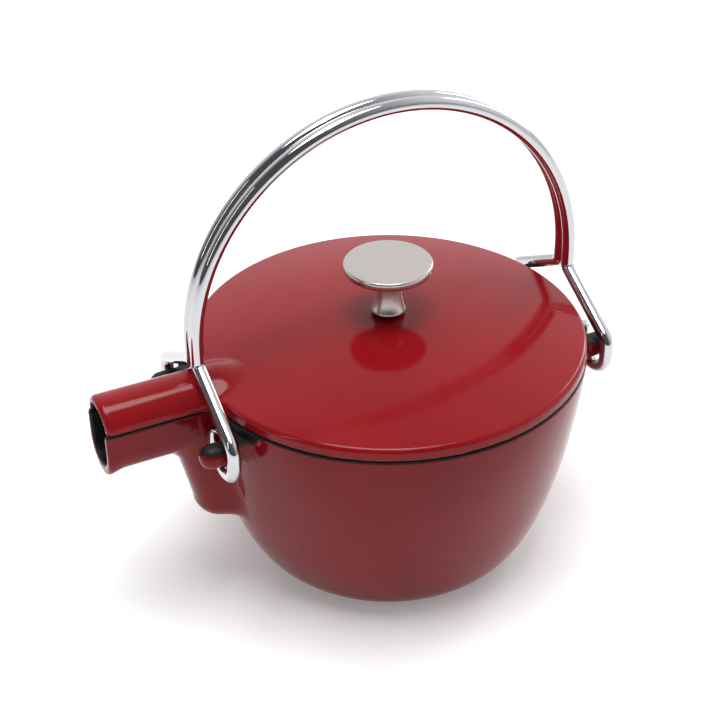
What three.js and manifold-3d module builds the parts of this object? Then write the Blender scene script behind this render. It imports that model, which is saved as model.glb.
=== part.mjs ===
// Enamelled cast-iron stovetop teapot with two folding wire bail handles.
// Millimetres, +Z up. The pot axis is Z, its base stands on z = 0 and the spout points along -X.
// The mirror plane of the whole object is y = 0.
import * as THREE from 'three';
import { mergeVertices } from 'three/addons/utils/BufferGeometryUtils.js';
import Module from 'manifold-3d';

const wasm = await Module();
wasm.setup();

// ---- clearances -------------------------------------------------------------------------
const TOUCH_GAP = 0.3;           // left between two pieces that rest on each other
const FLANGE_GAP = 0.8;          // radial play of the lid's locating flange inside the rim
const SCREW_GAP = 0.35;          // radial play round the knob screw
const CROTCH_GAP = 2.2;          // raised crotches above the crest of the spout cover
const SPOUT_HOOK_GAP = 3.4;      // turning hook past the side of the spout
const HOOK_PLAY = 1.4;           // hook round its peg
const HOOK_GAP = 0.85;           // side play between a hook and the pot wall beside it

// ---- pot casting ------------------------------------------------------------------------
const POT_H = 95;                // rim height
const RIM_R = 82.8;              // outer radius at the rim
const FOOT_R = 52;               // radius of the flat base
const WALL = 4.5;                // iron wall
const FLOOR = 5;                 // iron floor
const WALL_DROP = 19;            // how far the wall stays upright below the rim
const FOOT_REACH = 18.6;         // how far the base curve runs level outside the foot

// ---- spout ------------------------------------------------------------------------------
const SPOUT_L = 44.2;            // spout past the rim
const SPOUT_HALF_W = 11.8;       // outer half width
const SPOUT_DEPTH = 21.5;        // trough depth below the rim
const SPOUT_WALL = 3;            // wall of the trough and of its cover
const COVER_RISE = 10.7;         // height of the rounded spout cover above its lower edge
const POUCH_IN = 4.3;            // round bottom of the bulge under the spout root, inside the rim
const POUCH_DROP = 61.8;         // rim to the lowest point of the bulge
const POUCH_LEAN = 12.5;         // degrees the bulge leans out on its way up to the trough

// ---- lugs -------------------------------------------------------------------------------
const LUG_R = 5;                 // peg radius
const LUG_DROP = 9.6;            // peg axis below the rim
const LUG_PAST_HOOK = 8;         // spout-side peg end past the outer face of the hook
const REAR_LUG_PAST_HOOK = 3.2;  // the same on the two pegs opposite the spout
const LUG_ROOT_EXTRA = 3;        // root radius over the peg radius
const LUG_ROOT_L = 3.2;          // length of the conical root outside the wall

// ---- lid --------------------------------------------------------------------------------
const LID_INSET = 0.3;           // lid edge inside the pot's rim radius
const LID_EDGE = 5;              // height of the lid's edge
const LID_DOME = 9.9;            // rise of the dome over the edge
const LID_SHELL = 4.5;           // iron of the dome
const FLANGE_T = 4;              // locating flange thickness
const FLANGE_H = 5;              // locating flange depth

// ---- knob and its screw -----------------------------------------------------------------
const KNOB_R = 18.26;
const KNOB_HEAD_T = 3.4;
const KNOB_H = 23.6;             // lid top to knob top
const KNOB_NECK_R = 5.1;
const KNOB_BASE_R = 7.35;
const KNOB_BASE_CHAMFER = 1.2;
const KNOB_BASE_H = 1.9;
const KNOB_WAIST_H = 8;          // where the neck starts to flare
const KNOB_EDGE = 1;             // rounding of the head's top edge
const KNOB_UNDER_EDGE = 0.4;     // rounding of its lower edge
const SCREW_R = 2.5;
const SCREW_HEAD_R = 5;
const SCREW_HEAD_T = 3.2;
const SCREW_IN_KNOB = 13;        // screw length inside the knob
const SLOT_W = 1.2;
const SLOT_DEPTH = 1.3;

// ---- bails ------------------------------------------------------------------------------
const ROD_R = 2.8;
const ARCH_LEG = 7.5;            // straight leg between crotch and arch
const SHOULDER_UP = 7.2;         // outer corner above the hook's centre
const TIP_UP = 6.2;              // free end above the hook's centre
const HOOK_SAG = 0.6;            // hook centre below the peg axis
const HOOK_IN = 0.4;             // hook centre nearer the mirror plane than the peg axis
const CROTCH_BEND = 4;           // bend radius where the legs part
const SHOULDER_BEND = 6;

// ---- facets -----------------------------------------------------------------------------
const ROUND = 64;                // sides of the pot and the lid
const SMALL_ROUND = 24;          // sides of pegs, screw and screw hole
const KNOB_ROUND = 36;
const ROD_HALF_SIDES = 5;        // sides of half a rod section
const ARCH_PIECES = 40;
const HOOK_PIECES = 10;
const BEND_PIECES = 4;

// ---- values that follow from the sizes above --------------------------------------------
const lidR = RIM_R - LID_INSET;
const lidBottom = POT_H + TOUCH_GAP;
const lidEdgeTop = lidBottom + LID_EDGE;
const lidCrown = lidEdgeTop + LID_DOME;
const lugZ = POT_H - LUG_DROP;
const hookZ = lugZ - HOOK_SAG;
const boreR = RIM_R - WALL;      // inner radius at the rim
const mouthX = RIM_R + SPOUT_L;
const hookR = LUG_R + HOOK_PLAY + ROD_R;
const hookSweep = hookR + HOOK_SAG + ROD_R;    // reach of a turning hook from the peg axis
const lugY = SPOUT_HALF_W + SPOUT_HOOK_GAP + hookSweep;
const hookY = lugY - HOOK_IN;
const wallAtHook = Math.sqrt(RIM_R ** 2 - (lugY - hookSweep) ** 2);
const hookX = wallAtHook + HOOK_GAP + ROD_R;
const rodY = ROD_R + TOUCH_GAP / 2;
const coverTop = lidBottom + COVER_RISE;
const crotchZ = coverTop + CROTCH_GAP + ROD_R;
const archZ = crotchZ + ARCH_LEG;
const lugEnd = hookX + ROD_R + LUG_PAST_HOOK;
const rearLugEnd = hookX + ROD_R + REAR_LUG_PAST_HOOK;

// ---- helpers ----------------------------------------------------------------------------
function signedVolume(positions, index) {
  const a = new THREE.Vector3();
  const b = new THREE.Vector3();
  const c = new THREE.Vector3();
  let sum = 0;
  for (let i = 0; i < index.length; i += 3) {
    a.fromArray(positions, 3 * index[i]);
    b.fromArray(positions, 3 * index[i + 1]);
    c.fromArray(positions, 3 * index[i + 2]);
    sum += a.dot(b.cross(c));
  }
  return sum / 6;
}

// Closed three.js geometry to a manifold solid, always facing outwards.
function solid(geometry) {
  const bare = geometry.clone();
  bare.deleteAttribute('normal');
  bare.deleteAttribute('uv');
  const merged = mergeVertices(bare, 1e-4);
  const vertProperties = new Float32Array(merged.attributes.position.array);
  const triVerts = new Uint32Array(merged.index.array);
  if (signedVolume(vertProperties, triVerts) < 0) {
    for (let i = 0; i < triVerts.length; i += 3) {
      [triVerts[i], triVerts[i + 1]] = [triVerts[i + 1], triVerts[i]];
    }
  }
  return new wasm.Manifold(new wasm.Mesh({ numProp: 3, vertProperties, triVerts }));
}

function geometryOf(manifold) {
  const mesh = manifold.getMesh();
  const geometry = new THREE.BufferGeometry();
  geometry.setAttribute('position', new THREE.BufferAttribute(mesh.vertProperties, 3));
  geometry.setIndex(new THREE.BufferAttribute(mesh.triVerts, 1));
  geometry.computeVertexNormals();
  return geometry;
}

// Solid of revolution about Z from [radius, height] pairs that start and end on the axis.
function turned(profile, segments) {
  const points = profile.map(([r, z]) => new THREE.Vector2(r, z));
  return new THREE.LatheGeometry(points, segments).rotateX(Math.PI / 2);
}

// Ring about Z from a closed loop of [radius, height] pairs.
function turnedRing(profile, segments) {
  return turned([...profile, profile[0]], segments);
}

// Extrusion along X, from x0 to x1, of a shape drawn in (y, z).
function alongX(shape, x0, x1) {
  const geometry = new THREE.ExtrudeGeometry(shape, {
    depth: x1 - x0, bevelEnabled: false, curveSegments: 10,
  });
  geometry.applyMatrix4(new THREE.Matrix4().set(
    0, 0, 1, x0,
    1, 0, 0, 0,
    0, 1, 0, 0,
    0, 0, 0, 1));
  return geometry;
}

// U section: straight sides down from zTop, half-round bottom at zBottom.
function uSection(halfW, zTop, zBottom) {
  const shape = new THREE.Shape();
  shape.moveTo(-halfW, zTop);
  shape.lineTo(-halfW, zBottom + halfW);
  shape.absarc(0, zBottom + halfW, halfW, Math.PI, 2 * Math.PI, false);
  shape.lineTo(halfW, zTop);
  shape.closePath();
  return shape;
}

// D section: flat side at zBottom, half ellipse above it.
function dSection(halfW, zBottom, rise) {
  const shape = new THREE.Shape();
  shape.moveTo(halfW, zBottom);
  shape.absellipse(0, zBottom, halfW, rise, 0, Math.PI, false, 0);
  shape.closePath();
  return shape;
}

// Outer wall curve of the bowl, from the rim to the foot, moved inwards by an offset.
function bowlCurve(inset, lift, count) {
  const curve = new THREE.CubicBezierCurve(
    new THREE.Vector2(RIM_R - inset, POT_H),
    new THREE.Vector2(RIM_R - inset, POT_H - WALL_DROP),
    new THREE.Vector2(FOOT_R + FOOT_REACH - inset, lift),
    new THREE.Vector2(FOOT_R - inset, lift));
  return curve.getPoints(count).map((p) => [p.x, p.y]);
}

function domeZ(r, edgeZ, rise) {
  return edgeZ + rise * (1 - (r / lidR) ** 2);
}

// ---- pot body: bowl, spout trough, bulge and four lugs in one casting ------------------
function lug(side, sign) {
  const axisLength = (side < 0 ? lugEnd : rearLugEnd) - LUG_R;
  const rootX = Math.sqrt(RIM_R ** 2 - lugY ** 2);
  const rootStart = rootX - WALL / 2;
  const profile = [[0, rootStart], [LUG_R + LUG_ROOT_EXTRA, rootStart],
    [LUG_R + LUG_ROOT_EXTRA, rootX], [LUG_R, rootX + LUG_ROOT_L]];
  for (let i = 0; i <= 6; i += 1) {
    const a = (i / 6) * Math.PI / 2;
    profile.push([LUG_R * Math.cos(a), axisLength + LUG_R * Math.sin(a)]);
  }
  const peg = turned(profile, SMALL_ROUND).rotateY(side * Math.PI / 2);
  peg.translate(0, sign * lugY, lugZ);
  const above = new THREE.BoxGeometry(4 * lugEnd, 4 * lugEnd, LUG_DROP);
  above.translate(0, 0, lugZ + LUG_R + LUG_DROP / 2);
  return solid(peg).subtract(solid(above));
}

function pouch(radius) {
  const lean = THREE.MathUtils.degToRad(POUCH_LEAN);
  const length = (POUCH_DROP - SPOUT_DEPTH) / Math.cos(lean);
  const profile = [];
  for (let i = 0; i <= 6; i += 1) {
    const a = (1 - i / 6) * Math.PI / 2;
    profile.push([radius * Math.cos(a), -radius * Math.sin(a)]);
  }
  profile.push([radius, length], [0, length]);
  const bulge = turned(profile, SMALL_ROUND).rotateY(-lean);
  return bulge.translate(POUCH_IN - RIM_R, 0, POT_H - POUCH_DROP + SPOUT_HALF_W);
}

function makePotBody() {
  const outer = solid(turned([[0, POT_H], ...bowlCurve(0, 0, 14), [0, 0]], ROUND));
  const trough = solid(alongX(uSection(SPOUT_HALF_W, POT_H, POT_H - SPOUT_DEPTH), -mouthX, -FOOT_R));
  let body = outer.add(trough).add(solid(pouch(SPOUT_HALF_W)));
  for (const side of [-1, 1]) {
    for (const sign of [-1, 1]) {
      body = body.add(lug(side, sign));
    }
  }
  const cavity = solid(turned([[0, POT_H + 1], [boreR, POT_H + 1],
    ...bowlCurve(WALL, FLOOR, 10), [0, FLOOR]], ROUND));
  const innerHalfW = SPOUT_HALF_W - SPOUT_WALL;
  const channel = solid(alongX(
    uSection(innerHalfW, POT_H + 1, POT_H - SPOUT_DEPTH + SPOUT_WALL), -mouthX - 1, -FOOT_R));
  const well = solid(pouch(innerHalfW));
  const wellBottom = POT_H - POUCH_DROP + SPOUT_HALF_W - innerHalfW;
  const wellDoor = solid(alongX(
    uSection(innerHalfW, POT_H + 1, wellBottom), -RIM_R, -FOOT_R));
  return geometryOf(body.subtract(cavity).subtract(channel).subtract(well).subtract(wellDoor));
}

// ---- lid: domed disc, spout cover and locating flange in one casting --------------------
function makeLid() {
  const top = [];
  const under = [];
  const steps = 7;
  for (let i = 0; i <= steps; i += 1) {
    const r = lidR * i / steps;
    top.push([r, domeZ(r, lidEdgeTop, LID_DOME)]);
  }
  const hollowR = boreR - FLANGE_GAP - FLANGE_T;
  for (let i = 0; i <= steps; i += 1) {
    const r = hollowR * (1 - i / steps);
    under.push([r, domeZ(r, lidEdgeTop - LID_SHELL, LID_DOME)]);
  }
  const disc = solid(turned([...top, [lidR, lidBottom], [hollowR, lidBottom], ...under], ROUND));
  const flangeR = boreR - FLANGE_GAP;
  const flange = solid(turnedRing([[flangeR, lidBottom + 1], [flangeR, lidBottom - FLANGE_H],
    [hollowR, lidBottom - FLANGE_H], [hollowR, lidBottom + 1]], ROUND));
  const notch = new THREE.BoxGeometry(2 * FOOT_R, 2 * SPOUT_HALF_W, 2 * FLANGE_H);
  notch.translate(-lidR, 0, lidBottom - FLANGE_H);
  const cover = solid(alongX(dSection(SPOUT_HALF_W, lidBottom, COVER_RISE), -mouthX, -FOOT_R));
  const tunnel = solid(alongX(dSection(SPOUT_HALF_W - SPOUT_WALL, lidBottom - 1,
    COVER_RISE - SPOUT_WALL + 1), -mouthX - 1, -hollowR + FLANGE_T));
  const inside = solid(turned([[0, lidBottom], [hollowR, lidBottom], ...under.slice(0, -1),
    [0, lidEdgeTop - LID_SHELL + LID_DOME]], ROUND));
  const screwHole = new THREE.CylinderGeometry(
    SCREW_R + SCREW_GAP, SCREW_R + SCREW_GAP, 4 * LID_DOME, SMALL_ROUND).rotateX(Math.PI / 2);
  screwHole.translate(0, 0, lidCrown);
  return geometryOf(disc.add(flange.subtract(solid(notch))).add(cover)
    .subtract(inside).subtract(tunnel).subtract(solid(screwHole)));
}

// ---- lid knob: turned metal disc on a waisted stem, bored for the screw ----------------
function makeLidKnob() {
  const base = lidCrown + TOUCH_GAP;
  const top = base + KNOB_H;
  const headBottom = top - KNOB_HEAD_T;
  const boreRadius = SCREW_R + SCREW_GAP;
  const boreTop = base + SCREW_IN_KNOB + 1;
  const profile = [[0, top]];
  for (let i = 0; i <= 3; i += 1) {
    const a = (i / 3) * Math.PI / 2;
    profile.push([KNOB_R - KNOB_EDGE + KNOB_EDGE * Math.sin(a), top - KNOB_EDGE + KNOB_EDGE * Math.cos(a)]);
  }
  profile.push([KNOB_R, headBottom + KNOB_UNDER_EDGE], [KNOB_R - KNOB_UNDER_EDGE, headBottom],
    [KNOB_NECK_R + KNOB_EDGE, headBottom]);
  const waist = new THREE.QuadraticBezierCurve(
    new THREE.Vector2(KNOB_NECK_R, headBottom - KNOB_EDGE),
    new THREE.Vector2(KNOB_NECK_R, base + KNOB_WAIST_H),
    new THREE.Vector2(KNOB_BASE_R, base + KNOB_BASE_H));
  for (const p of waist.getPoints(4)) {
    profile.push([p.x, p.y]);
  }
  profile.push([KNOB_BASE_R - KNOB_BASE_CHAMFER, base], [boreRadius, base],
    [boreRadius, boreTop], [0, boreTop]);
  return turned(profile.reverse(), KNOB_ROUND);
}

// ---- knob screw: slotted cheese-head screw up through the lid into the knob ------------
function makeKnobScrew() {
  const headTop = lidCrown - LID_SHELL - TOUCH_GAP;
  const headBottom = headTop - SCREW_HEAD_T;
  const tip = lidCrown + TOUCH_GAP + SCREW_IN_KNOB;
  const body = solid(turned([[0, headBottom], [SCREW_HEAD_R - 0.5, headBottom],
    [SCREW_HEAD_R, headBottom + 0.5], [SCREW_HEAD_R, headTop], [SCREW_R, headTop],
    [SCREW_R, tip - 0.6], [SCREW_R - 0.6, tip], [0, tip]], SMALL_ROUND));
  const slot = new THREE.BoxGeometry(4 * SCREW_HEAD_R, SLOT_W, 2 * SLOT_DEPTH);
  slot.translate(0, 0, headBottom);
  return geometryOf(body.subtract(solid(slot)));
}

// ---- bails: two mirror-image bent rods, arched side by side ----------------------------
class PlaneArc extends THREE.Curve {
  // Arc about a centre, from the direction first towards the direction second.
  constructor(centre, first, second, radius, angle) {
    super();
    Object.assign(this, { centre, first, second, radius, angle });
  }

  getPoint(t, target = new THREE.Vector3()) {
    const a = t * this.angle;
    return target.copy(this.centre).addScaledVector(this.first, this.radius * Math.cos(a))
      .addScaledVector(this.second, this.radius * Math.sin(a));
  }
}

class RodPath extends THREE.Curve {
  // Straights and bends in a row, each cut into its own number of pieces.
  constructor() {
    super();
    this.stretches = [];
    this.pieces = 0;
  }

  add(curve, pieces, backwards = false) {
    this.stretches.push({ curve, pieces, backwards });
    this.pieces += pieces;
  }

  getPoint(t, target) {
    let left = t * this.pieces;
    for (const { curve, pieces, backwards } of this.stretches) {
      if (left <= pieces) {
        const u = left / pieces;
        return curve.getPoint(backwards ? 1 - u : u, target);
      }
      left -= pieces;
    }
    const last = this.stretches[this.stretches.length - 1];
    return last.curve.getPoint(last.backwards ? 0 : 1, target);
  }

  getPointAt(u, target) {
    return this.getPoint(u, target);
  }

  getTangentAt(u, target) {
    return this.getTangent(u, target);
  }
}

// Straight from one point to a rounded corner, and the bend there. Returns the bend's end.
function bend(path, from, corner, to, radius) {
  const back = from.clone().sub(corner).normalize();
  const ahead = to.clone().sub(corner).normalize();
  const cut = radius / Math.tan(back.angleTo(ahead) / 2);
  const start = corner.clone().addScaledVector(back, cut);
  const end = corner.clone().addScaledVector(ahead, cut);
  path.add(new THREE.LineCurve3(from, start), 1);
  path.add(new THREE.QuadraticBezierCurve3(start, corner, end), BEND_PIECES);
  return end;
}

// One side of a bail from its free end up to the arch, in the plane x = side * hookX.
function hookSide(side, sign) {
  const at = (y, z) => new THREE.Vector3(side * hookX, sign * y, z);
  const inner = hookY - hookR;
  const outer = hookY + hookR;
  const path = new RodPath();
  path.add(new THREE.LineCurve3(at(inner, hookZ + TIP_UP), at(inner, hookZ)), 1);
  path.add(new PlaneArc(at(hookY, hookZ), new THREE.Vector3(0, -sign, 0),
    new THREE.Vector3(0, 0, -1), hookR, Math.PI), HOOK_PIECES);
  const shoulder = at(outer, hookZ + SHOULDER_UP);
  const crotch = at(rodY, crotchZ);
  const springing = at(rodY, archZ);
  const slope = bend(path, at(outer, hookZ), shoulder, crotch, SHOULDER_BEND);
  const upright = bend(path, slope, crotch, springing, CROTCH_BEND);
  path.add(new THREE.LineCurve3(upright, springing), 1);
  return path.stretches;
}

function makeBail(sign) {
  const path = new RodPath();
  for (const { curve, pieces } of hookSide(-1, sign)) {
    path.add(curve, pieces);
  }
  path.add(new PlaneArc(new THREE.Vector3(0, sign * rodY, archZ), new THREE.Vector3(-1, 0, 0),
    new THREE.Vector3(0, 0, 1), hookX, Math.PI), ARCH_PIECES);
  for (const { curve, pieces } of hookSide(1, sign).reverse()) {
    path.add(curve, pieces, true);
  }
  const section = new THREE.Shape().absarc(0, 0, ROD_R, 0, 2 * Math.PI, false);
  return new THREE.ExtrudeGeometry(section, {
    steps: path.pieces, curveSegments: ROD_HALF_SIDES, bevelEnabled: false, extrudePath: path,
  });
}

// ---- materials --------------------------------------------------------------------------
function redEnamel() {
  return new THREE.MeshStandardMaterial({ color: 0x9e1b22, roughness: 0.15, metalness: 0 });
}

function satinNickel() {
  return new THREE.MeshStandardMaterial({ color: 0xbdb6b0, roughness: 0.3, metalness: 1 });
}

function zincSteel() {
  return new THREE.MeshStandardMaterial({ color: 0x9a9c9e, roughness: 0.4, metalness: 1 });
}

function chrome() {
  return new THREE.MeshStandardMaterial({ color: 0xd8d8dc, roughness: 0.05, metalness: 1 });
}

// ---- assembly ---------------------------------------------------------------------------
const group = new THREE.Group();
function place(name, geometry, material) {
  const mesh = new THREE.Mesh(geometry, material);
  mesh.name = name;
  group.add(mesh);
}
place('pot_body', makePotBody(), redEnamel());
place('lid', makeLid(), redEnamel());
place('lid_knob', makeLidKnob(), satinNickel());
place('knob_screw', makeKnobScrew(), zincSteel());
place('front_bail', makeBail(-1), chrome());
place('rear_bail', makeBail(1), chrome());

export default group;
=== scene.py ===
import math
import bpy
import numpy as np
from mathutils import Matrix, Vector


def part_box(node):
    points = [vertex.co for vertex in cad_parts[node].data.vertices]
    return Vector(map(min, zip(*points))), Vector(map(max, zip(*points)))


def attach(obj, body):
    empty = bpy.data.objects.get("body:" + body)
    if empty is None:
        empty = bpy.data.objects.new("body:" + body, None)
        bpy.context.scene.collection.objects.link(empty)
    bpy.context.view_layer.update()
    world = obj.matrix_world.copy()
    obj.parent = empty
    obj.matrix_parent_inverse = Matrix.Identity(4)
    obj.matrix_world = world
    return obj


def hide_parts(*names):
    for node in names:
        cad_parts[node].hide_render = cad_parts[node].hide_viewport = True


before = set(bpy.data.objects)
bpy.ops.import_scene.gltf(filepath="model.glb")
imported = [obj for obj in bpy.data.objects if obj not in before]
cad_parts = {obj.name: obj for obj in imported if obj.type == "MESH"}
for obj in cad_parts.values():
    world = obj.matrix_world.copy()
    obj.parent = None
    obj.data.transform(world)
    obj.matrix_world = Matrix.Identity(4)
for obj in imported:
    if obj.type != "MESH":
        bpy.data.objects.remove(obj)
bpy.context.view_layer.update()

import openvdb
from mathutils import Vector

# ---- table, light and camera --------------------------------------------------------
# The teapot stands on a wide sheet of white card under one broad soft light, with a
# weaker one on each side, and is seen from above its spout side.
TABLE_HALF = 2.5
TABLE_WHITE = (0.88, 0.88, 0.88)
TABLE_GLOW = 0.2
CAMERA_AT = (-0.2527, -0.4982, 0.4624)
CAMERA_TURN = math.radians(-26.9)
CAMERA_DIP = math.radians(33.63)
CAMERA_LENS = 80.0
CAMERA_SHIFT = (-0.0394, -0.0130)


def principled(name, **values):
    """A material with its principled shader, and the tree to add texture nodes to."""
    mat = bpy.data.materials.new(name)
    mat.use_nodes = True
    shader = mat.node_tree.nodes["Principled BSDF"]
    for socket, value in values.items():
        shader.inputs[socket.replace("_", " ")].default_value = value
    return mat, mat.node_tree, shader


def node(tree, kind, links=(), **settings):
    """Adds a node, sets its sockets and properties, and links (socket, output) pairs."""
    made = tree.nodes.new(kind)
    for key, value in settings.items():
        if hasattr(made, key):
            setattr(made, key, value)
        else:
            made.inputs[key.replace("_", " ")].default_value = value
    for socket, output in links:
        tree.links.new(output, made.inputs[socket])
    return made


def mesh_object(name, points, faces):
    mesh = bpy.data.meshes.new(name)
    mesh.from_pydata(points, [], faces)
    mesh.validate()
    mesh.shade_smooth()
    made = bpy.data.objects.new(name, mesh)
    bpy.context.scene.collection.objects.link(made)
    return made


table = mesh_object(
    "table",
    [(-TABLE_HALF, -TABLE_HALF, 0), (TABLE_HALF, -TABLE_HALF, 0), (TABLE_HALF, TABLE_HALF, 0),
     (-TABLE_HALF, TABLE_HALF, 0)],
    [(0, 1, 2, 3)])
card, card_tree, card_shader = principled(
    "white_card", Base_Color=(*TABLE_WHITE, 1), Roughness=0.9,
    Emission_Color=(1, 1, 1, 1), Emission_Strength=TABLE_GLOW)
card_grain = node(card_tree, "ShaderNodeTexNoise", Scale=400.0, Detail=2.0)
card_bump = node(card_tree, "ShaderNodeBump", [("Height", card_grain.outputs["Fac"])],
                 Strength=0.02, Distance=0.001)
card_tree.links.new(card_bump.outputs[0], card_shader.inputs["Normal"])
table.data.materials.append(card)


def soft_light(name, at, towards, size, power):
    lamp = bpy.data.lights.new(name, "AREA")
    lamp.shape = "RECTANGLE"
    lamp.size, lamp.size_y = size
    lamp.energy = power
    placed = bpy.data.objects.new(name, lamp)
    placed.location = at
    placed.rotation_euler = (Vector(towards) - Vector(at)).to_track_quat("-Z", "Y").to_euler()
    bpy.context.scene.collection.objects.link(placed)


soft_light("overhead_softbox", at=(-0.1, -0.1, 1.5), towards=(0, 0, 0.08), size=(0.8, 0.8), power=18)
soft_light("left_strip", at=(-1.3, -0.2, 0.75), towards=(0, 0, 0.1), size=(0.08, 1.0), power=1.2)
soft_light("right_strip", at=(1.3, 0.5, 0.7), towards=(0, 0, 0.1), size=(0.25, 1.0), power=5)

# The room is bright behind and on the right, dark on the left and on the viewer's side.
# Its grey goes by height, from the horizon up to the ceiling.
ROOM_HORIZON = (0.9, 0.9, 0.92, 1)
ROOM_CEILING = (0.5, 0.5, 0.52, 1)
ROOM_LEVELS = ((0.2, 1.0), (0.5, 1.15), (0.75, 1.0))
ROOM_BRIGHT_WAY = (0.75, 0.66, 0)
ROOM_DARKEST = 0.1
room = bpy.data.worlds.new("pale_room")
bpy.context.scene.world = room
room.use_nodes = True
room_tree = room.node_tree
way = node(room_tree, "ShaderNodeTexCoord").outputs["Generated"]
height = node(room_tree, "ShaderNodeSeparateXYZ", [(0, way)])
glow = node(room_tree, "ShaderNodeValToRGB", [("Fac", height.outputs["Z"])])
glow.color_ramp.elements[0].color = ROOM_HORIZON
glow.color_ramp.elements[1].color = ROOM_CEILING
for position, level in ROOM_LEVELS:
    glow.color_ramp.elements.new(position).color = (level, level, level * 1.02, 1)
side = node(room_tree, "ShaderNodeVectorMath", [(0, way)], operation="DOT_PRODUCT")
side.inputs[1].default_value = ROOM_BRIGHT_WAY
shade = node(room_tree, "ShaderNodeMapRange", [("Value", side.outputs["Value"])],
             From_Min=-0.65, From_Max=0.5, To_Min=ROOM_DARKEST, To_Max=1.0,
             interpolation_type="SMOOTHSTEP")
lit = node(room_tree, "ShaderNodeVectorMath", [(0, glow.outputs["Color"]), ("Scale", shade.outputs[0])],
           operation="SCALE")
room_tree.links.new(lit.outputs[0], room_tree.nodes["Background"].inputs["Color"])
bpy.context.scene.view_settings.view_transform = "Standard"

lens = bpy.data.cameras.new("camera")
lens.lens = CAMERA_LENS
lens.shift_x, lens.shift_y = CAMERA_SHIFT
camera = bpy.data.objects.new("camera", lens)
camera.location = CAMERA_AT
camera.rotation_euler = (math.pi / 2 - CAMERA_DIP, 0, CAMERA_TURN)
bpy.context.scene.collection.objects.link(camera)
bpy.context.scene.camera = camera

# ---- pot ----------------------------------------------------------------------------
# One iron casting: bowl, spout trough, the bulge under the trough's root and four pegs.
# Gloss cherry enamel outside; rim, peg tops and inside keep the matte black ground coat.
# Its lengths are in millimetres, as in the lid, knob and bails, and become metres in the mesh.
pot_low, pot_high = (1000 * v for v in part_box("pot_body"))
RIM_Z = pot_high.z
RIM_R = pot_high.y
MOUTH_X = -pot_low.x
ROD_REACH = 1000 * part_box("front_bail")[1].x
FOOT_R = 52.0
WALL = 4.5
WALL_DROP = 19.0
FOOT_REACH = 18.6
SPOUT_HALF_W = 11.8
SPOUT_DEPTH = 21.5
SPOUT_WALL = 3.0
BULGE_X = -RIM_R + 4.0
BULGE_DROP = 60.5
BULGE_LEAN = math.tan(math.radians(12.5))
PEG_R = 5.0
PEG_Y = 27.8
PEG_Z = RIM_Z - 9.6
SPOUT_PEG_END = ROD_REACH + 8.0
REAR_PEG_END = pot_high.x
GUSSET_END = ROD_REACH - 6.1
BULGE_TAPER = 0.5
BULGE_HOLLOW_REACH = 99.0
MOUTH_LIP = 1.3
MOUTH_LIP_L = 8.0
TROUGH_FILLET = 7.0
ROOT_FILLET = 3.5
LOW_ROOT_FILLET = 4.5
PEG_FILLET = 3.0
RIM_EDGE = 0.9
MOUTH_EDGE = 1.2
BLACK_COAT = (0.012, 0.011, 0.011)
bulge_z = RIM_Z - BULGE_DROP + SPOUT_HALF_W
trough_z = RIM_Z - SPOUT_DEPTH + SPOUT_HALF_W


def joined(a, b, fillet):
    """Union of two signed distances with a round fillet between them."""
    u, v = np.maximum(fillet - a, 0), np.maximum(fillet - b, 0)
    return np.maximum(fillet, np.minimum(a, b)) - np.sqrt(u * u + v * v)


def cut(a, b, edge):
    """What lies inside both of two signed distances, with a rounded edge."""
    return -joined(-a, -b, edge)


def ease(value, start, end):
    t = np.clip((value - start) / (end - start), 0, 1)
    return t * t * (3 - 2 * t)


WALL_STEP = 0.5
WALL_RADII = np.arange(0, 150, WALL_STEP)
WALL_HEIGHTS = np.arange(-20, 130, WALL_STEP)


def wall_distance_table():
    """Signed distance to the bowl's outer side over radius and height."""
    t = np.linspace(0, 1, 160)[:, None]
    corners = np.array([(FOOT_R, 0), (FOOT_R + FOOT_REACH, 0), (RIM_R, RIM_Z - WALL_DROP), (RIM_R, RIM_Z)])
    curve = ((1 - t) ** 3 * corners[0] + 3 * t * (1 - t) ** 2 * corners[1]
             + 3 * t * t * (1 - t) * corners[2] + t ** 3 * corners[3])
    line = np.vstack([[(0, 0)], curve, [(RIM_R, RIM_Z + 60)]])
    r, z = (g.ravel() for g in np.meshgrid(WALL_RADII, WALL_HEIGHTS, indexing="ij"))
    best = np.full(r.shape, 1e9)
    for (r0, z0), (r1, z1) in zip(line[:-1], line[1:]):
        dr, dz = r1 - r0, z1 - z0
        along = np.clip(((r - r0) * dr + (z - z0) * dz) / (dr * dr + dz * dz), 0, 1)
        best = np.minimum(best, np.hypot(r - r0 - along * dr, z - z0 - along * dz))
    inside = (z > 0) & (r < np.interp(z, line[1:, 1], line[1:, 0]))
    return np.where(inside, -best, best).reshape(len(WALL_RADII), len(WALL_HEIGHTS))


wall_table = wall_distance_table()


def bowl_side(r, z):
    """Reads the table between its points."""
    i = np.clip(r / WALL_STEP, 0, wall_table.shape[0] - 1.001)
    j = np.clip((z - WALL_HEIGHTS[0]) / WALL_STEP, 0, wall_table.shape[1] - 1.001)
    i0, j0 = i.astype(int), j.astype(int)
    fi, fj = i - i0, j - j0
    low = wall_table[i0, j0] * (1 - fi) + wall_table[i0 + 1, j0] * fi
    high = wall_table[i0, j0 + 1] * (1 - fi) + wall_table[i0 + 1, j0 + 1] * fi
    return low * (1 - fj) + high * fj


def u_trough(y, z, half_w, centre_z):
    """Open channel along X with a half-round bottom."""
    return np.hypot(y, np.minimum(z - centre_z, 0)) - half_w


def bulge_side(x, y, z, radius):
    """Leaning round bulge under the spout's root, with a ball at its lower end."""
    up = np.maximum(z - bulge_z, 0)
    across = x - BULGE_X + BULGE_LEAN * up
    taper = BULGE_TAPER * ease(-z, -trough_z, -bulge_z)
    return np.sqrt(across ** 2 + y * y + np.minimum(z - bulge_z, 0) ** 2) - radius + taper


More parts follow.
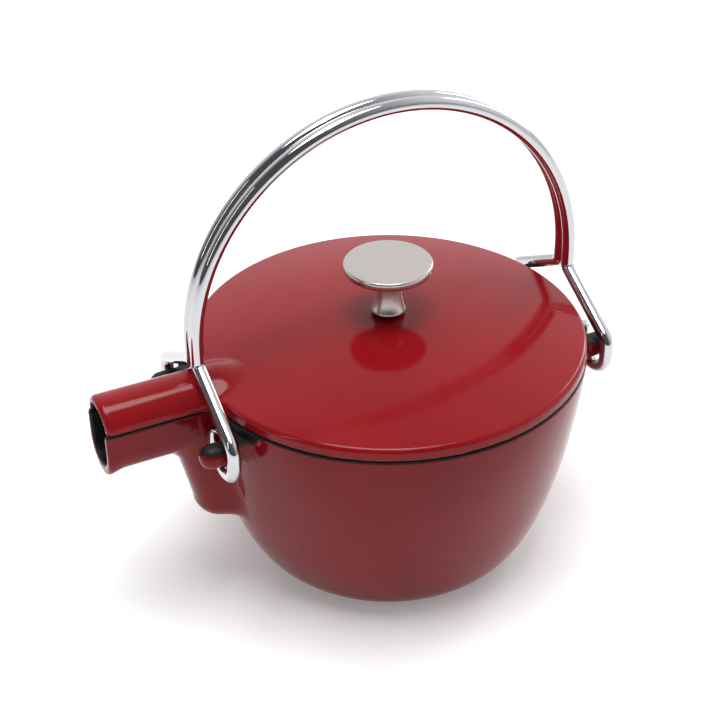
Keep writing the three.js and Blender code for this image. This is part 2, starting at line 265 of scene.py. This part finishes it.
def pot_hollow(x, y, z):
    """Signed distance to the space inside: bowl, spout channel, bulge and its way in."""
    bowl = bowl_side(np.hypot(x, y), z) + WALL
    inner = SPOUT_HALF_W - SPOUT_WALL
    channel = np.maximum(u_trough(y, z, inner, trough_z), x + FOOT_R)
    bulge = np.maximum(bulge_side(x, y, z, inner), -x - BULGE_HOLLOW_REACH)
    door = np.maximum(u_trough(y, z, inner, bulge_z), np.maximum(-RIM_R - x, x + FOOT_R))
    return np.minimum(joined(bowl, np.minimum(channel, bulge), 1.5), door)


def pot_field(x, y, z):
    """Signed distance to the whole casting."""
    bowl = bowl_side(np.hypot(x, y), z)
    under = np.clip((trough_z - z) / SPOUT_HALF_W, 0, 1)
    lip = MOUTH_LIP * under * ease(-x, MOUTH_X - MOUTH_LIP_L, MOUTH_X - 1)
    trough = np.maximum(u_trough(y, z, SPOUT_HALF_W + lip, trough_z), x + FOOT_R)
    bulge = bulge_side(x, y, z, SPOUT_HALF_W)
    crease = 0.2 + TROUGH_FILLET * np.clip(1 - (y / SPOUT_HALF_W) ** 2, 0, 1)
    spout = joined(trough, bulge, crease)
    root = ROOT_FILLET + LOW_ROOT_FILLET * ease(-z, -76, -64) + ease(z, 90, 94)
    body = joined(bowl, spout, root)
    px, py, pz = np.abs(x), np.abs(y) - PEG_Y, z - PEG_Z
    end = np.where(x < 0, SPOUT_PEG_END, REAR_PEG_END) - PEG_R
    peg = np.sqrt(py * py + pz * pz + np.maximum(px - end, 0) ** 2) - PEG_R
    gusset = cut(cut(np.abs(py) - PEG_R - 0.1, np.abs(pz - PEG_R / 2) - PEG_R / 2, 0.5),
                 px - GUSSET_END, 0.6)
    peg = np.maximum(np.minimum(peg, gusset), 70 - px)
    body = np.minimum(body, cut(joined(bowl, peg, PEG_FILLET), pz - PEG_R, 0.5))
    body = cut(body, z - RIM_Z, RIM_EDGE)
    body = cut(body, -MOUTH_X - x, MOUTH_EDGE)
    return cut(body, -pot_hollow(x, y, z), RIM_EDGE)


def pot_black(x, y, z):
    """How far a point lies inside the bare black parts, in millimetres."""
    px, py = np.abs(x), np.abs(np.abs(y) - PEG_Y)
    inside = 0.7 - pot_hollow(x, y, z)
    rim = z - (RIM_Z - 0.75)
    ledge = np.minimum(z - (PEG_Z + PEG_R - 0.45) - 1.1 * np.maximum(py - 5.5, 0), px - 60)
    ledge = np.minimum(ledge, 9 - py)
    peg_top = np.minimum(z - PEG_Z - 2.5, px - GUSSET_END)
    peg_top = np.minimum(peg_top, 7 - py)
    return np.max([inside, rim, ledge, peg_top, 0.4 - z], axis=0)


def grid_lines(low, high, fine, coarse, plain_from, plain_to):
    """Grid lines past both ends, coarser over the plain stretch between two places."""
    lines = [low - 3 * fine]
    while lines[-1] < high + 3 * fine:
        lines.append(lines[-1] + (coarse if plain_from < lines[-1] < plain_to else fine))
    return np.array(lines)


SKIN_BAND = 5.0
SKIN_ROUNDS = 4


def cast_piece(name, field, black, axes):
    """Skins a signed distance with quads, moves the corners onto it and marks the black parts."""
    values = np.empty([len(a) for a in axes], np.float32)
    for i, x in enumerate(axes[0]):
        y, z = np.meshgrid(axes[1], axes[2], indexing="ij")
        values[i] = field(np.full(y.shape, x), y, z)
    grid = openvdb.FloatGrid(SKIN_BAND)
    grid.copyFromArray(np.clip(values, -SKIN_BAND, SKIN_BAND))
    points, quads = grid.convertToQuads(0.0)
    p = np.stack([np.interp(q, np.arange(len(a)), a) for q, a in zip(points.T, axes)], 1)

    def slope(q, step):
        shifts = np.eye(3) * step
        return np.stack([field(*(q + s).T) - field(*(q - s).T) for s in shifts], 1) / (2 * step)

    for _ in range(SKIN_ROUNDS):
        g = slope(p, 0.05)
        length = np.maximum((g * g).sum(1), 0.25)
        p -= g * np.clip(field(*p.T) / length, -0.5, 0.5)[:, None]
    faces = quads.astype(int)
    a, b, c, d = (p[faces[:, i]] for i in range(4))
    if (np.cross(b - a, c - a) * a).sum() + (np.cross(c - a, d - a) * a).sum() < 0:
        faces = faces[:, ::-1]
    made = mesh_object(name, (p / 1000).tolist(), faces.tolist())
    outward = slope(p, 0.12)
    outward /= np.linalg.norm(outward, axis=1)[:, None] + 1e-9
    made.data.normals_split_custom_set_from_vertices(outward.tolist())
    made.data.attributes.new("black_coat", "FLOAT", "POINT").data.foreach_set("value", black(*p.T))
    return made


def enamel(name, cherry, deep):
    """Two-tone enamel: gloss cherry over a matte black ground coat that shows where marked."""
    mat, tree, shader = principled(name, IOR=1.5, Specular_IOR_Level=0.2)
    where = node(tree, "ShaderNodeTexCoord").outputs["Object"]
    cloudy = node(tree, "ShaderNodeTexNoise", [("Vector", where)], Scale=28.0, Detail=3.0)
    speckle = node(tree, "ShaderNodeTexNoise", [("Vector", where)], Scale=900.0, Detail=2.0)
    tone = node(tree, "ShaderNodeMapRange", [("Value", cloudy.outputs["Fac"])],
                From_Min=0.3, From_Max=0.7, To_Min=0.0, To_Max=1.0)
    red = node(tree, "ShaderNodeMix", [(0, tone.outputs[0])], data_type="RGBA")
    red.inputs[6].default_value = (*deep, 1)
    red.inputs[7].default_value = (*cherry, 1)
    coat = node(tree, "ShaderNodeAttribute", attribute_name="black_coat")
    wobble = node(tree, "ShaderNodeTexNoise", [("Vector", where)], Scale=160.0, Detail=1.0)
    edge = node(tree, "ShaderNodeMath", [(0, wobble.outputs["Fac"]), (2, coat.outputs["Fac"])],
                operation="MULTIPLY_ADD")
    edge.inputs[1].default_value = 0.5
    bare = node(tree, "ShaderNodeMapRange", [("Value", edge.outputs[0])],
                From_Min=0.15, From_Max=0.4, To_Min=0.0, To_Max=1.0, interpolation_type="SMOOTHSTEP")
    colour = node(tree, "ShaderNodeMix", [(0, bare.outputs[0]), (6, red.outputs[2])], data_type="RGBA")
    colour.inputs[7].default_value = (*BLACK_COAT, 1)
    tree.links.new(colour.outputs[2], shader.inputs["Base Color"])
    dull = node(tree, "ShaderNodeMapRange", [("Value", bare.outputs[0])], To_Min=0.12, To_Max=0.42)
    tree.links.new(dull.outputs[0], shader.inputs["Roughness"])
    swell = node(tree, "ShaderNodeTexNoise", [("Vector", where)], Scale=55.0, Detail=1.0)
    ripple = node(tree, "ShaderNodeBump", [("Height", swell.outputs["Fac"])],
                  Strength=0.12, Distance=0.001)
    grit = node(tree, "ShaderNodeMath", [(0, speckle.outputs["Fac"]), (1, bare.outputs[0])],
                operation="MULTIPLY")
    rough = node(tree, "ShaderNodeBump", [("Height", grit.outputs[0]), ("Normal", ripple.outputs[0])],
                 Strength=0.25, Distance=0.0004)
    tree.links.new(rough.outputs[0], shader.inputs["Normal"])
    return mat


POT_FINE = 1.0
POT_COARSE = 1.7
half_across = grid_lines(0, pot_high.y, POT_FINE, POT_COARSE, 42, 200)[3:]
pot_axes = [grid_lines(pot_low.x, SPOUT_PEG_END, POT_FINE, POT_COARSE, -66, 74),
            np.concatenate([-half_across[:0:-1], half_across]),
            grid_lines(pot_low.z, pot_high.z, POT_FINE, POT_COARSE, 4, 66)]
pot = cast_piece("pot_casting", pot_field, pot_black, pot_axes)
# The pot's cherry is set darker than the lid's, though both are one enamel: painted shade on the side
# walls.
pot.data.materials.append(enamel("pot_cherry_enamel_painted_shade", (0.195, 0.004, 0.007), (0.16, 0.003, 0.006)))
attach(pot, "pot")
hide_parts("pot_body")

# ---- lid ----------------------------------------------------------------------------
# One iron casting: a shallow dome with a thick rounded edge, running out into the half
# tube that covers the spout. A ring below drops inside the rim. Enamelled like the pot, but
# its cherry is painted lighter than the pot's: painted light on the upward-facing lid.
lid_low, lid_high = (1000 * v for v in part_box("lid"))
LID_R = lid_high.y
LID_FLANGE_H = 5.0
LID_BOTTOM = lid_low.z + LID_FLANGE_H
LID_EDGE = 5.0
LID_DOME = 9.9
LID_SHELL = 4.5
COVER_RISE = 10.7
FLANGE_R = RIM_R - WALL - 0.8
FLANGE_T = 4.0
SCREW_HOLE_R = 2.85
SPOUT_FLARE = 10.0
LID_TOP_EDGE = 1.7
LID_LOWER_EDGE = 0.7
RIDGE_SINK = 3.5
RIDGE_FILLET = 3.2


def dome_z(r):
    """Height of the dome's outer face."""
    return LID_BOTTOM + LID_EDGE + LID_DOME * (1 - (r / LID_R) ** 2)


def half_tube(y, z, half_w, rise):
    """Distance to the half-elliptic section of the spout cover."""
    a, b = y / half_w, (z - LID_BOTTOM) / rise
    k1 = np.hypot(a, b)
    k2 = np.maximum(np.hypot(a / half_w, b / rise), 1e-6)
    return k1 * (k1 - 1) / k2


def lid_hollow(x, y, z):
    """Signed distance to the space under the dome and under the spout cover."""
    r = np.hypot(x, y)
    under = np.maximum(r - (FLANGE_R - FLANGE_T), z - dome_z(r) + LID_SHELL)
    tunnel = half_tube(y, z, SPOUT_HALF_W - SPOUT_WALL, COVER_RISE - SPOUT_WALL)
    tunnel = np.maximum(tunnel, x + FLANGE_R - 8)
    return np.minimum(under, tunnel)


def lid_field(x, y, z):
    """Signed distance to the whole casting."""
    r = np.hypot(x, y)
    top = (z - dome_z(r)) / np.sqrt(1 + (2 * LID_DOME * r / LID_R ** 2) ** 2)
    neck = np.maximum(np.abs(y) - SPOUT_HALF_W + 1.9, np.maximum(x + 60, -x - 108))
    plate = cut(joined(r - LID_R, neck, SPOUT_FLARE), top, LID_TOP_EDGE)
    cover = half_tube(y, z, SPOUT_HALF_W, COVER_RISE) + RIDGE_SINK * ease(x, -77, -58)
    cover = np.maximum(cover, x + 50)
    up = np.clip((z - LID_BOTTOM) / COVER_RISE, 0, 1)
    cover = cut(cover, 0.8 * (1 - up) - MOUTH_X - x, 2.0 + 0.6 * up)
    body = joined(plate, cover, 0.3 + RIDGE_FILLET * ease(-x, 60, 80))
    body = cut(body, LID_BOTTOM - z, LID_LOWER_EDGE)
    body = cut(body, -lid_hollow(x, y, z), 0.8)
    ring = cut(np.abs(r - FLANGE_R + FLANGE_T / 2) - FLANGE_T / 2,
               np.maximum(LID_BOTTOM - LID_FLANGE_H - z, z - LID_BOTTOM - 2), 0.6)
    ring = np.maximum(ring, -np.maximum(np.abs(y) - SPOUT_HALF_W - 0.2, x))
    return np.maximum(np.minimum(body, ring), SCREW_HOLE_R - r)


def lid_black(x, y, z):
    """How far a point lies inside the bare black parts, in millimetres."""
    return np.maximum(0.4 - lid_hollow(x, y, z), LID_BOTTOM + 0.55 - z)


LID_FINE = 1.1
LID_COARSE = 1.3
LID_LAYER = 0.8
lid_axes = [grid_lines(lid_low.x, lid_high.x, LID_FINE, LID_COARSE, -60, 70),
            grid_lines(lid_low.y, lid_high.y, LID_FINE, LID_FINE, 0, 0),
            grid_lines(lid_low.z, lid_high.z, LID_LAYER, LID_LAYER, 0, 0)]
lid = cast_piece("lid_casting", lid_field, lid_black, lid_axes)
# The lid's cherry is set lighter than the pot's, though both are one enamel: painted light on the
# upward-facing lid.
lid.data.materials.append(enamel("lid_cherry_enamel_painted_light", (0.255, 0.006, 0.009), (0.22, 0.005, 0.008)))
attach(lid, "lid")
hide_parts("lid")

# ---- lid knob -----------------------------------------------------------------------
# Turned from nickel-plated steel: a flat disc on a waisted stem that flares to its foot.
# The top face is satin, lapped flat; its rim and the stem are smoother. Its foot takes the screw.
knob_low, knob_high = (1000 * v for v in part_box("lid_knob"))
KNOB_R = knob_high.x
KNOB_TURNS = 128
HEAD_EDGE = 1.0
HEAD_SIDE = 2.8
HEAD_UNDER_EDGE = 0.6
NECK_TOP_R = 7.2
NECK_R = 5.1
NECK_CURVE = 2.1
FOOT_WIDEST_R = 7.35
SCREW_BORE = 14.0
head_z = knob_high.z
foot_z = knob_low.z
under_z = head_z - 3.6
knob_line = [(0.0, head_z), (KNOB_R * 0.5, head_z), (KNOB_R - HEAD_EDGE, head_z)]
knob_line += [(KNOB_R - HEAD_EDGE + HEAD_EDGE * math.sin(a), head_z - HEAD_EDGE + HEAD_EDGE * math.cos(a))
              for a in np.linspace(0.15, math.pi / 2, 8)]
knob_line += [(KNOB_R, head_z - HEAD_SIDE)]
knob_line += [(KNOB_R - HEAD_UNDER_EDGE + HEAD_UNDER_EDGE * math.cos(a),
               head_z - HEAD_SIDE - HEAD_UNDER_EDGE * math.sin(a))
              for a in np.linspace(0.3, math.pi / 2, 6)]
knob_line += [(KNOB_R - 3.5, head_z - 3.4), (NECK_TOP_R, under_z)]
knob_line += [(NECK_TOP_R - NECK_CURVE * math.sin(a), under_z - NECK_CURVE * (1 - math.cos(a)))
              for a in np.linspace(0.25, math.pi / 2, 6)]
for t in np.linspace(0.08, 1, 14):
    waist = (NECK_R, under_z - NECK_CURVE), (NECK_R, foot_z + 8.0), (FOOT_WIDEST_R, foot_z + 1.9)
    knob_line.append(tuple((1 - t) ** 2 * a + 2 * t * (1 - t) * b + t * t * c
                           for a, b, c in zip(*waist)))
knob_line += [(7.4, foot_z + 1.5), (7.2, foot_z + 1.1), (6.3, foot_z + 0.1), (6.0, foot_z),
              (SCREW_HOLE_R, foot_z), (SCREW_HOLE_R, foot_z + SCREW_BORE), (0.0, foot_z + SCREW_BORE)]


def turned(name, line, count):
    """Closed solid of revolution about Z from [radius, height] pairs that start and end on it."""
    points = [(0, 0, line[0][1] / 1000)]
    for r, z in line[1:-1]:
        points += [(r * math.cos(a) / 1000, r * math.sin(a) / 1000, z / 1000)
                   for a in np.linspace(0, 2 * math.pi, count, endpoint=False)]
    points.append((0, 0, line[-1][1] / 1000))
    rows = len(line) - 2
    faces = [(0, 1 + i, 1 + (i + 1) % count) for i in range(count)]
    for row in range(rows - 1):
        here, below = 1 + row * count, 1 + (row + 1) * count
        faces += [(here + i, below + i, below + (i + 1) % count, here + (i + 1) % count)
                  for i in range(count)]
    last = 1 + (rows - 1) * count
    faces += [(last + i, len(points) - 1, last + (i + 1) % count) for i in range(count)]
    return mesh_object(name, points, faces)


knob = turned("lid_knob_turned", knob_line, KNOB_TURNS)
nickel, nickel_tree, nickel_shader = principled(
    "satin_nickel", Base_Color=(0.52, 0.48, 0.455, 1), Metallic=1.0)
knob_at = node(nickel_tree, "ShaderNodeTexCoord").outputs["Object"]
knob_axes = node(nickel_tree, "ShaderNodeSeparateXYZ", [(0, knob_at)])
flat_top = node(nickel_tree, "ShaderNodeMapRange", [("Value", knob_axes.outputs["Z"])],
                From_Min=head_z / 1000 - 0.0005, From_Max=head_z / 1000 - 0.0001,
                To_Min=0.2, To_Max=0.34)
satin = node(nickel_tree, "ShaderNodeTexNoise", [("Vector", knob_at)], Scale=1600.0, Detail=3.0)
satin_depth = node(nickel_tree, "ShaderNodeMath", [(0, satin.outputs["Fac"]), (1, flat_top.outputs[0])],
                   operation="MULTIPLY")
nickel_bump = node(nickel_tree, "ShaderNodeBump", [("Height", satin_depth.outputs[0])],
                   Strength=0.25, Distance=0.0003)
nickel_tree.links.new(flat_top.outputs[0], nickel_shader.inputs["Roughness"])
nickel_tree.links.new(nickel_bump.outputs[0], nickel_shader.inputs["Normal"])
knob.data.materials.append(nickel)
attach(knob, "lid")
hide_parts("lid_knob")

# ---- knob screw ---------------------------------------------------------------------
# Slotted cheese-head screw of plain steel, up through the lid into the knob. It keeps its
# shape and gets fine turning lines round its axis.
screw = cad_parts["knob_screw"]
steel, steel_tree, steel_shader = principled(
    "turned_steel", Base_Color=(0.5, 0.51, 0.52, 1), Metallic=1.0)
steel_at = node(steel_tree, "ShaderNodeTexCoord").outputs["Object"]
turning = node(steel_tree, "ShaderNodeTexWave", [("Vector", steel_at)], wave_type="RINGS",
               rings_direction="Z", Scale=900.0, Distortion=0.6)
steel_dull = node(steel_tree, "ShaderNodeMapRange", [("Value", turning.outputs["Fac"])],
                  To_Min=0.28, To_Max=0.45)
steel_bump = node(steel_tree, "ShaderNodeBump", [("Height", turning.outputs["Fac"])],
                  Strength=0.1, Distance=0.0002)
steel_tree.links.new(steel_dull.outputs[0], steel_shader.inputs["Roughness"])
steel_tree.links.new(steel_bump.outputs[0], steel_shader.inputs["Normal"])
screw.data.materials.clear()
screw.data.materials.append(steel)

# ---- bails --------------------------------------------------------------------------
# Two mirror-image handles bent from round steel rod and chrome plated. The arches stand
# side by side; below the crotches the legs part and hook under their pegs from outside.
bail_low, bail_high = (1000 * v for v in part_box("rear_bail"))
ROD_R = 2.8
HOOK_PLAY = 1.4
HOOK_SAG = 0.6
ARCH_LEG = 7.5
ARCH_GAP = 0.15
END_DOME = 0.0012
HOOK_R = PEG_R + HOOK_PLAY + ROD_R
HOOK_X = bail_high.x - ROD_R
HOOK_Y = bail_high.y - ROD_R - HOOK_R
HOOK_Z = PEG_Z - HOOK_SAG
ROD_Y = ROD_R + ARCH_GAP
ARCH_Z = bail_high.z - ROD_R - HOOK_X
CROTCH_Z = ARCH_Z - ARCH_LEG
SHOULDER_UP = 7.2
TIP_UP = 6.2
CROTCH_BEND = 4.0
SHOULDER_BEND = 6.0


def arc(centre, first, second, radius, start, end, count):
    """Points on a circle from the first direction towards the second."""
    return [np.array(centre) + radius * (math.cos(a) * np.array(first) + math.sin(a) * np.array(second))
            for a in np.linspace(start, end, count)]


def corner(before, at, after, bend, count=12):
    """Rounded corner between two straights, as the points of its bend."""
    before, at, after = (np.array(v, float) for v in (before, at, after))
    back = (before - at) / np.linalg.norm(before - at)
    ahead = (after - at) / np.linalg.norm(after - at)
    reach = bend / math.tan(math.acos(np.clip(back @ ahead, -1, 1)) / 2)
    p0, p2 = at + back * reach, at + ahead * reach
    return [(1 - t) ** 2 * p0 + 2 * t * (1 - t) * at + t * t * p2 for t in np.linspace(0, 1, count)]


def spaced(points, step):
    """Splits long straights, so that the rod's sections stay near each other."""
    out = [points[0]]
    for a, b in zip(points[:-1], points[1:]):
        n = max(1, int(np.linalg.norm(b - a) // step))
        out += [a + (b - a) * i / n for i in range(1, n + 1)]
    return out


def bail_line(sign):
    """Centre line from one free end over the arch to the other."""
    inner, outer = HOOK_Y - HOOK_R, HOOK_Y + HOOK_R
    crotch, shoulder = (ROD_Y, CROTCH_Z), (outer, HOOK_Z + SHOULDER_UP)
    side = [np.array(v) for v in [(inner, HOOK_Z + TIP_UP), (inner, HOOK_Z + TIP_UP - 1.0)]]
    side += arc((HOOK_Y, HOOK_Z), (-1, 0), (0, -1), HOOK_R, 0, math.pi, 28)
    side += corner((outer, HOOK_Z), shoulder, crotch, SHOULDER_BEND)
    side += corner(shoulder, crotch, (ROD_Y, ARCH_Z), CROTCH_BEND)
    near = [np.array((-HOOK_X, sign * y, z)) for y, z in side]
    far = [p * (-1, 1, 1) for p in reversed(near)]
    over = arc((0, sign * ROD_Y, ARCH_Z), (-1, 0, 0), (0, 0, 1), HOOK_X, 0, math.pi, 120)
    return spaced(near + over + far, 4.0)


def rod_tree():
    """Geometry nodes that sweep a round section along a line, with domed ends."""
    tree = bpy.data.node_groups.new("round_rod", "GeometryNodeTree")
    face = tree.interface
    face.new_socket("Line", in_out="INPUT", socket_type="NodeSocketGeometry")
    for label, kind, value in (("Rod radius", "NodeSocketFloat", ROD_R / 1000),
                               ("Sides", "NodeSocketInt", 32), ("End dome", "NodeSocketFloat", END_DOME)):
        face.new_socket(label, in_out="INPUT", socket_type=kind).default_value = value
    face.new_socket("Plating", in_out="INPUT", socket_type="NodeSocketMaterial")
    face.new_socket("Rod", in_out="OUTPUT", socket_type="NodeSocketGeometry")
    given = tree.nodes.new("NodeGroupInput")
    place = node(tree, "GeometryNodeSplineParameter")
    length = node(tree, "GeometryNodeSplineLength")
    left = node(tree, "ShaderNodeMath", [(0, length.outputs["Length"]), (1, place.outputs["Length"])],
                operation="SUBTRACT")
    nearest = node(tree, "ShaderNodeMath", [(0, left.outputs[0]), (1, place.outputs["Length"])],
                   operation="MINIMUM")
    share = node(tree, "ShaderNodeMath", [(0, nearest.outputs[0]), (1, given.outputs["End dome"])],
                 operation="DIVIDE", use_clamp=True)
    short = node(tree, "ShaderNodeMath", [(1, share.outputs[0])], operation="SUBTRACT")
    short.inputs[0].default_value = 1.0
    square = node(tree, "ShaderNodeMath", [(0, short.outputs[0]), (1, short.outputs[0])],
                  operation="MULTIPLY")
    rest = node(tree, "ShaderNodeMath", [(1, square.outputs[0])], operation="SUBTRACT")
    rest.inputs[0].default_value = 1.0
    round_end = node(tree, "ShaderNodeMath", [(0, rest.outputs[0])], operation="SQRT")
    full = node(tree, "ShaderNodeMapRange", [("Value", round_end.outputs[0])], To_Min=0.45, To_Max=1.0)
    section = node(tree, "GeometryNodeCurvePrimitiveCircle",
                   [("Resolution", given.outputs["Sides"]), ("Radius", given.outputs["Rod radius"])])
    swept = node(tree, "GeometryNodeCurveToMesh",
                 [("Curve", given.outputs["Line"]), ("Profile Curve", section.outputs["Curve"]),
                  ("Scale", full.outputs[0])])
    swept.inputs["Fill Caps"].default_value = True
    smooth = node(tree, "GeometryNodeSetShadeSmooth", [("Geometry", swept.outputs["Mesh"])])
    real = node(tree, "GeometryNodeRealizeInstances", [("Geometry", smooth.outputs["Geometry"])])
    plated = node(tree, "GeometryNodeSetMaterial",
                  [("Geometry", real.outputs["Geometry"]), ("Material", given.outputs["Plating"])])
    node(tree, "NodeGroupOutput", [("Rod", plated.outputs["Geometry"])])
    return tree


chrome, chrome_tree, chrome_shader = principled(
    "chrome_plate", Base_Color=(0.55, 0.55, 0.57, 1), Metallic=1.0)
chrome_at = node(chrome_tree, "ShaderNodeTexCoord").outputs["Object"]
hairlines = node(chrome_tree, "ShaderNodeTexNoise", [("Vector", chrome_at)], Scale=700.0, Detail=4.0)
chrome_dull = node(chrome_tree, "ShaderNodeMapRange", [("Value", hairlines.outputs["Fac"])],
                   From_Min=0.35, From_Max=0.75, To_Min=0.03, To_Max=0.09)
chrome_wave = node(chrome_tree, "ShaderNodeTexNoise", [("Vector", chrome_at)], Scale=60.0, Detail=1.0)
chrome_bump = node(chrome_tree, "ShaderNodeBump", [("Height", chrome_wave.outputs["Fac"])],
                   Strength=0.04, Distance=0.0005)
chrome_tree.links.new(chrome_dull.outputs[0], chrome_shader.inputs["Roughness"])
chrome_tree.links.new(chrome_bump.outputs[0], chrome_shader.inputs["Normal"])

DOME_SHARES = (0, 0.06, 0.2, 0.45, 0.75)
rod_nodes = rod_tree()
sockets = {s.name: s.identifier for s in rod_nodes.interface.items_tree if s.in_out == "INPUT"}
for bail_name, sign in (("front_bail", -1), ("rear_bail", 1)):
    line = bpy.data.curves.new(bail_name + "_line", "CURVE")
    line.dimensions = "3D"
    track = bail_line(sign)
    first_steps = [track[0] + (track[1] - track[0]) * share for share in DOME_SHARES]
    last_steps = [track[-1] + (track[-2] - track[-1]) * share for share in reversed(DOME_SHARES)]
    track = first_steps + track[1:-1] + last_steps
    spline = line.splines.new("POLY")
    spline.points.add(len(track) - 1)
    for point, at in zip(spline.points, track):
        point.co = (*(at / 1000), 1)
    carrier = bpy.data.objects.new(bail_name + "_line", line)
    bpy.context.scene.collection.objects.link(carrier)
    sweep = carrier.modifiers.new("round_rod", "NODES")
    sweep.node_group = rod_nodes
    sweep[sockets["Plating"]] = chrome
    shown = carrier.evaluated_get(bpy.context.evaluated_depsgraph_get())
    rod_mesh = bpy.data.meshes.new_from_object(shown)
    rod_mesh.shade_smooth()
    bpy.data.objects.remove(carrier)
    rod = bpy.data.objects.new(bail_name + "_rod", rod_mesh)
    bpy.context.scene.collection.objects.link(rod)
    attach(rod, bail_name)
    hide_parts(bail_name)
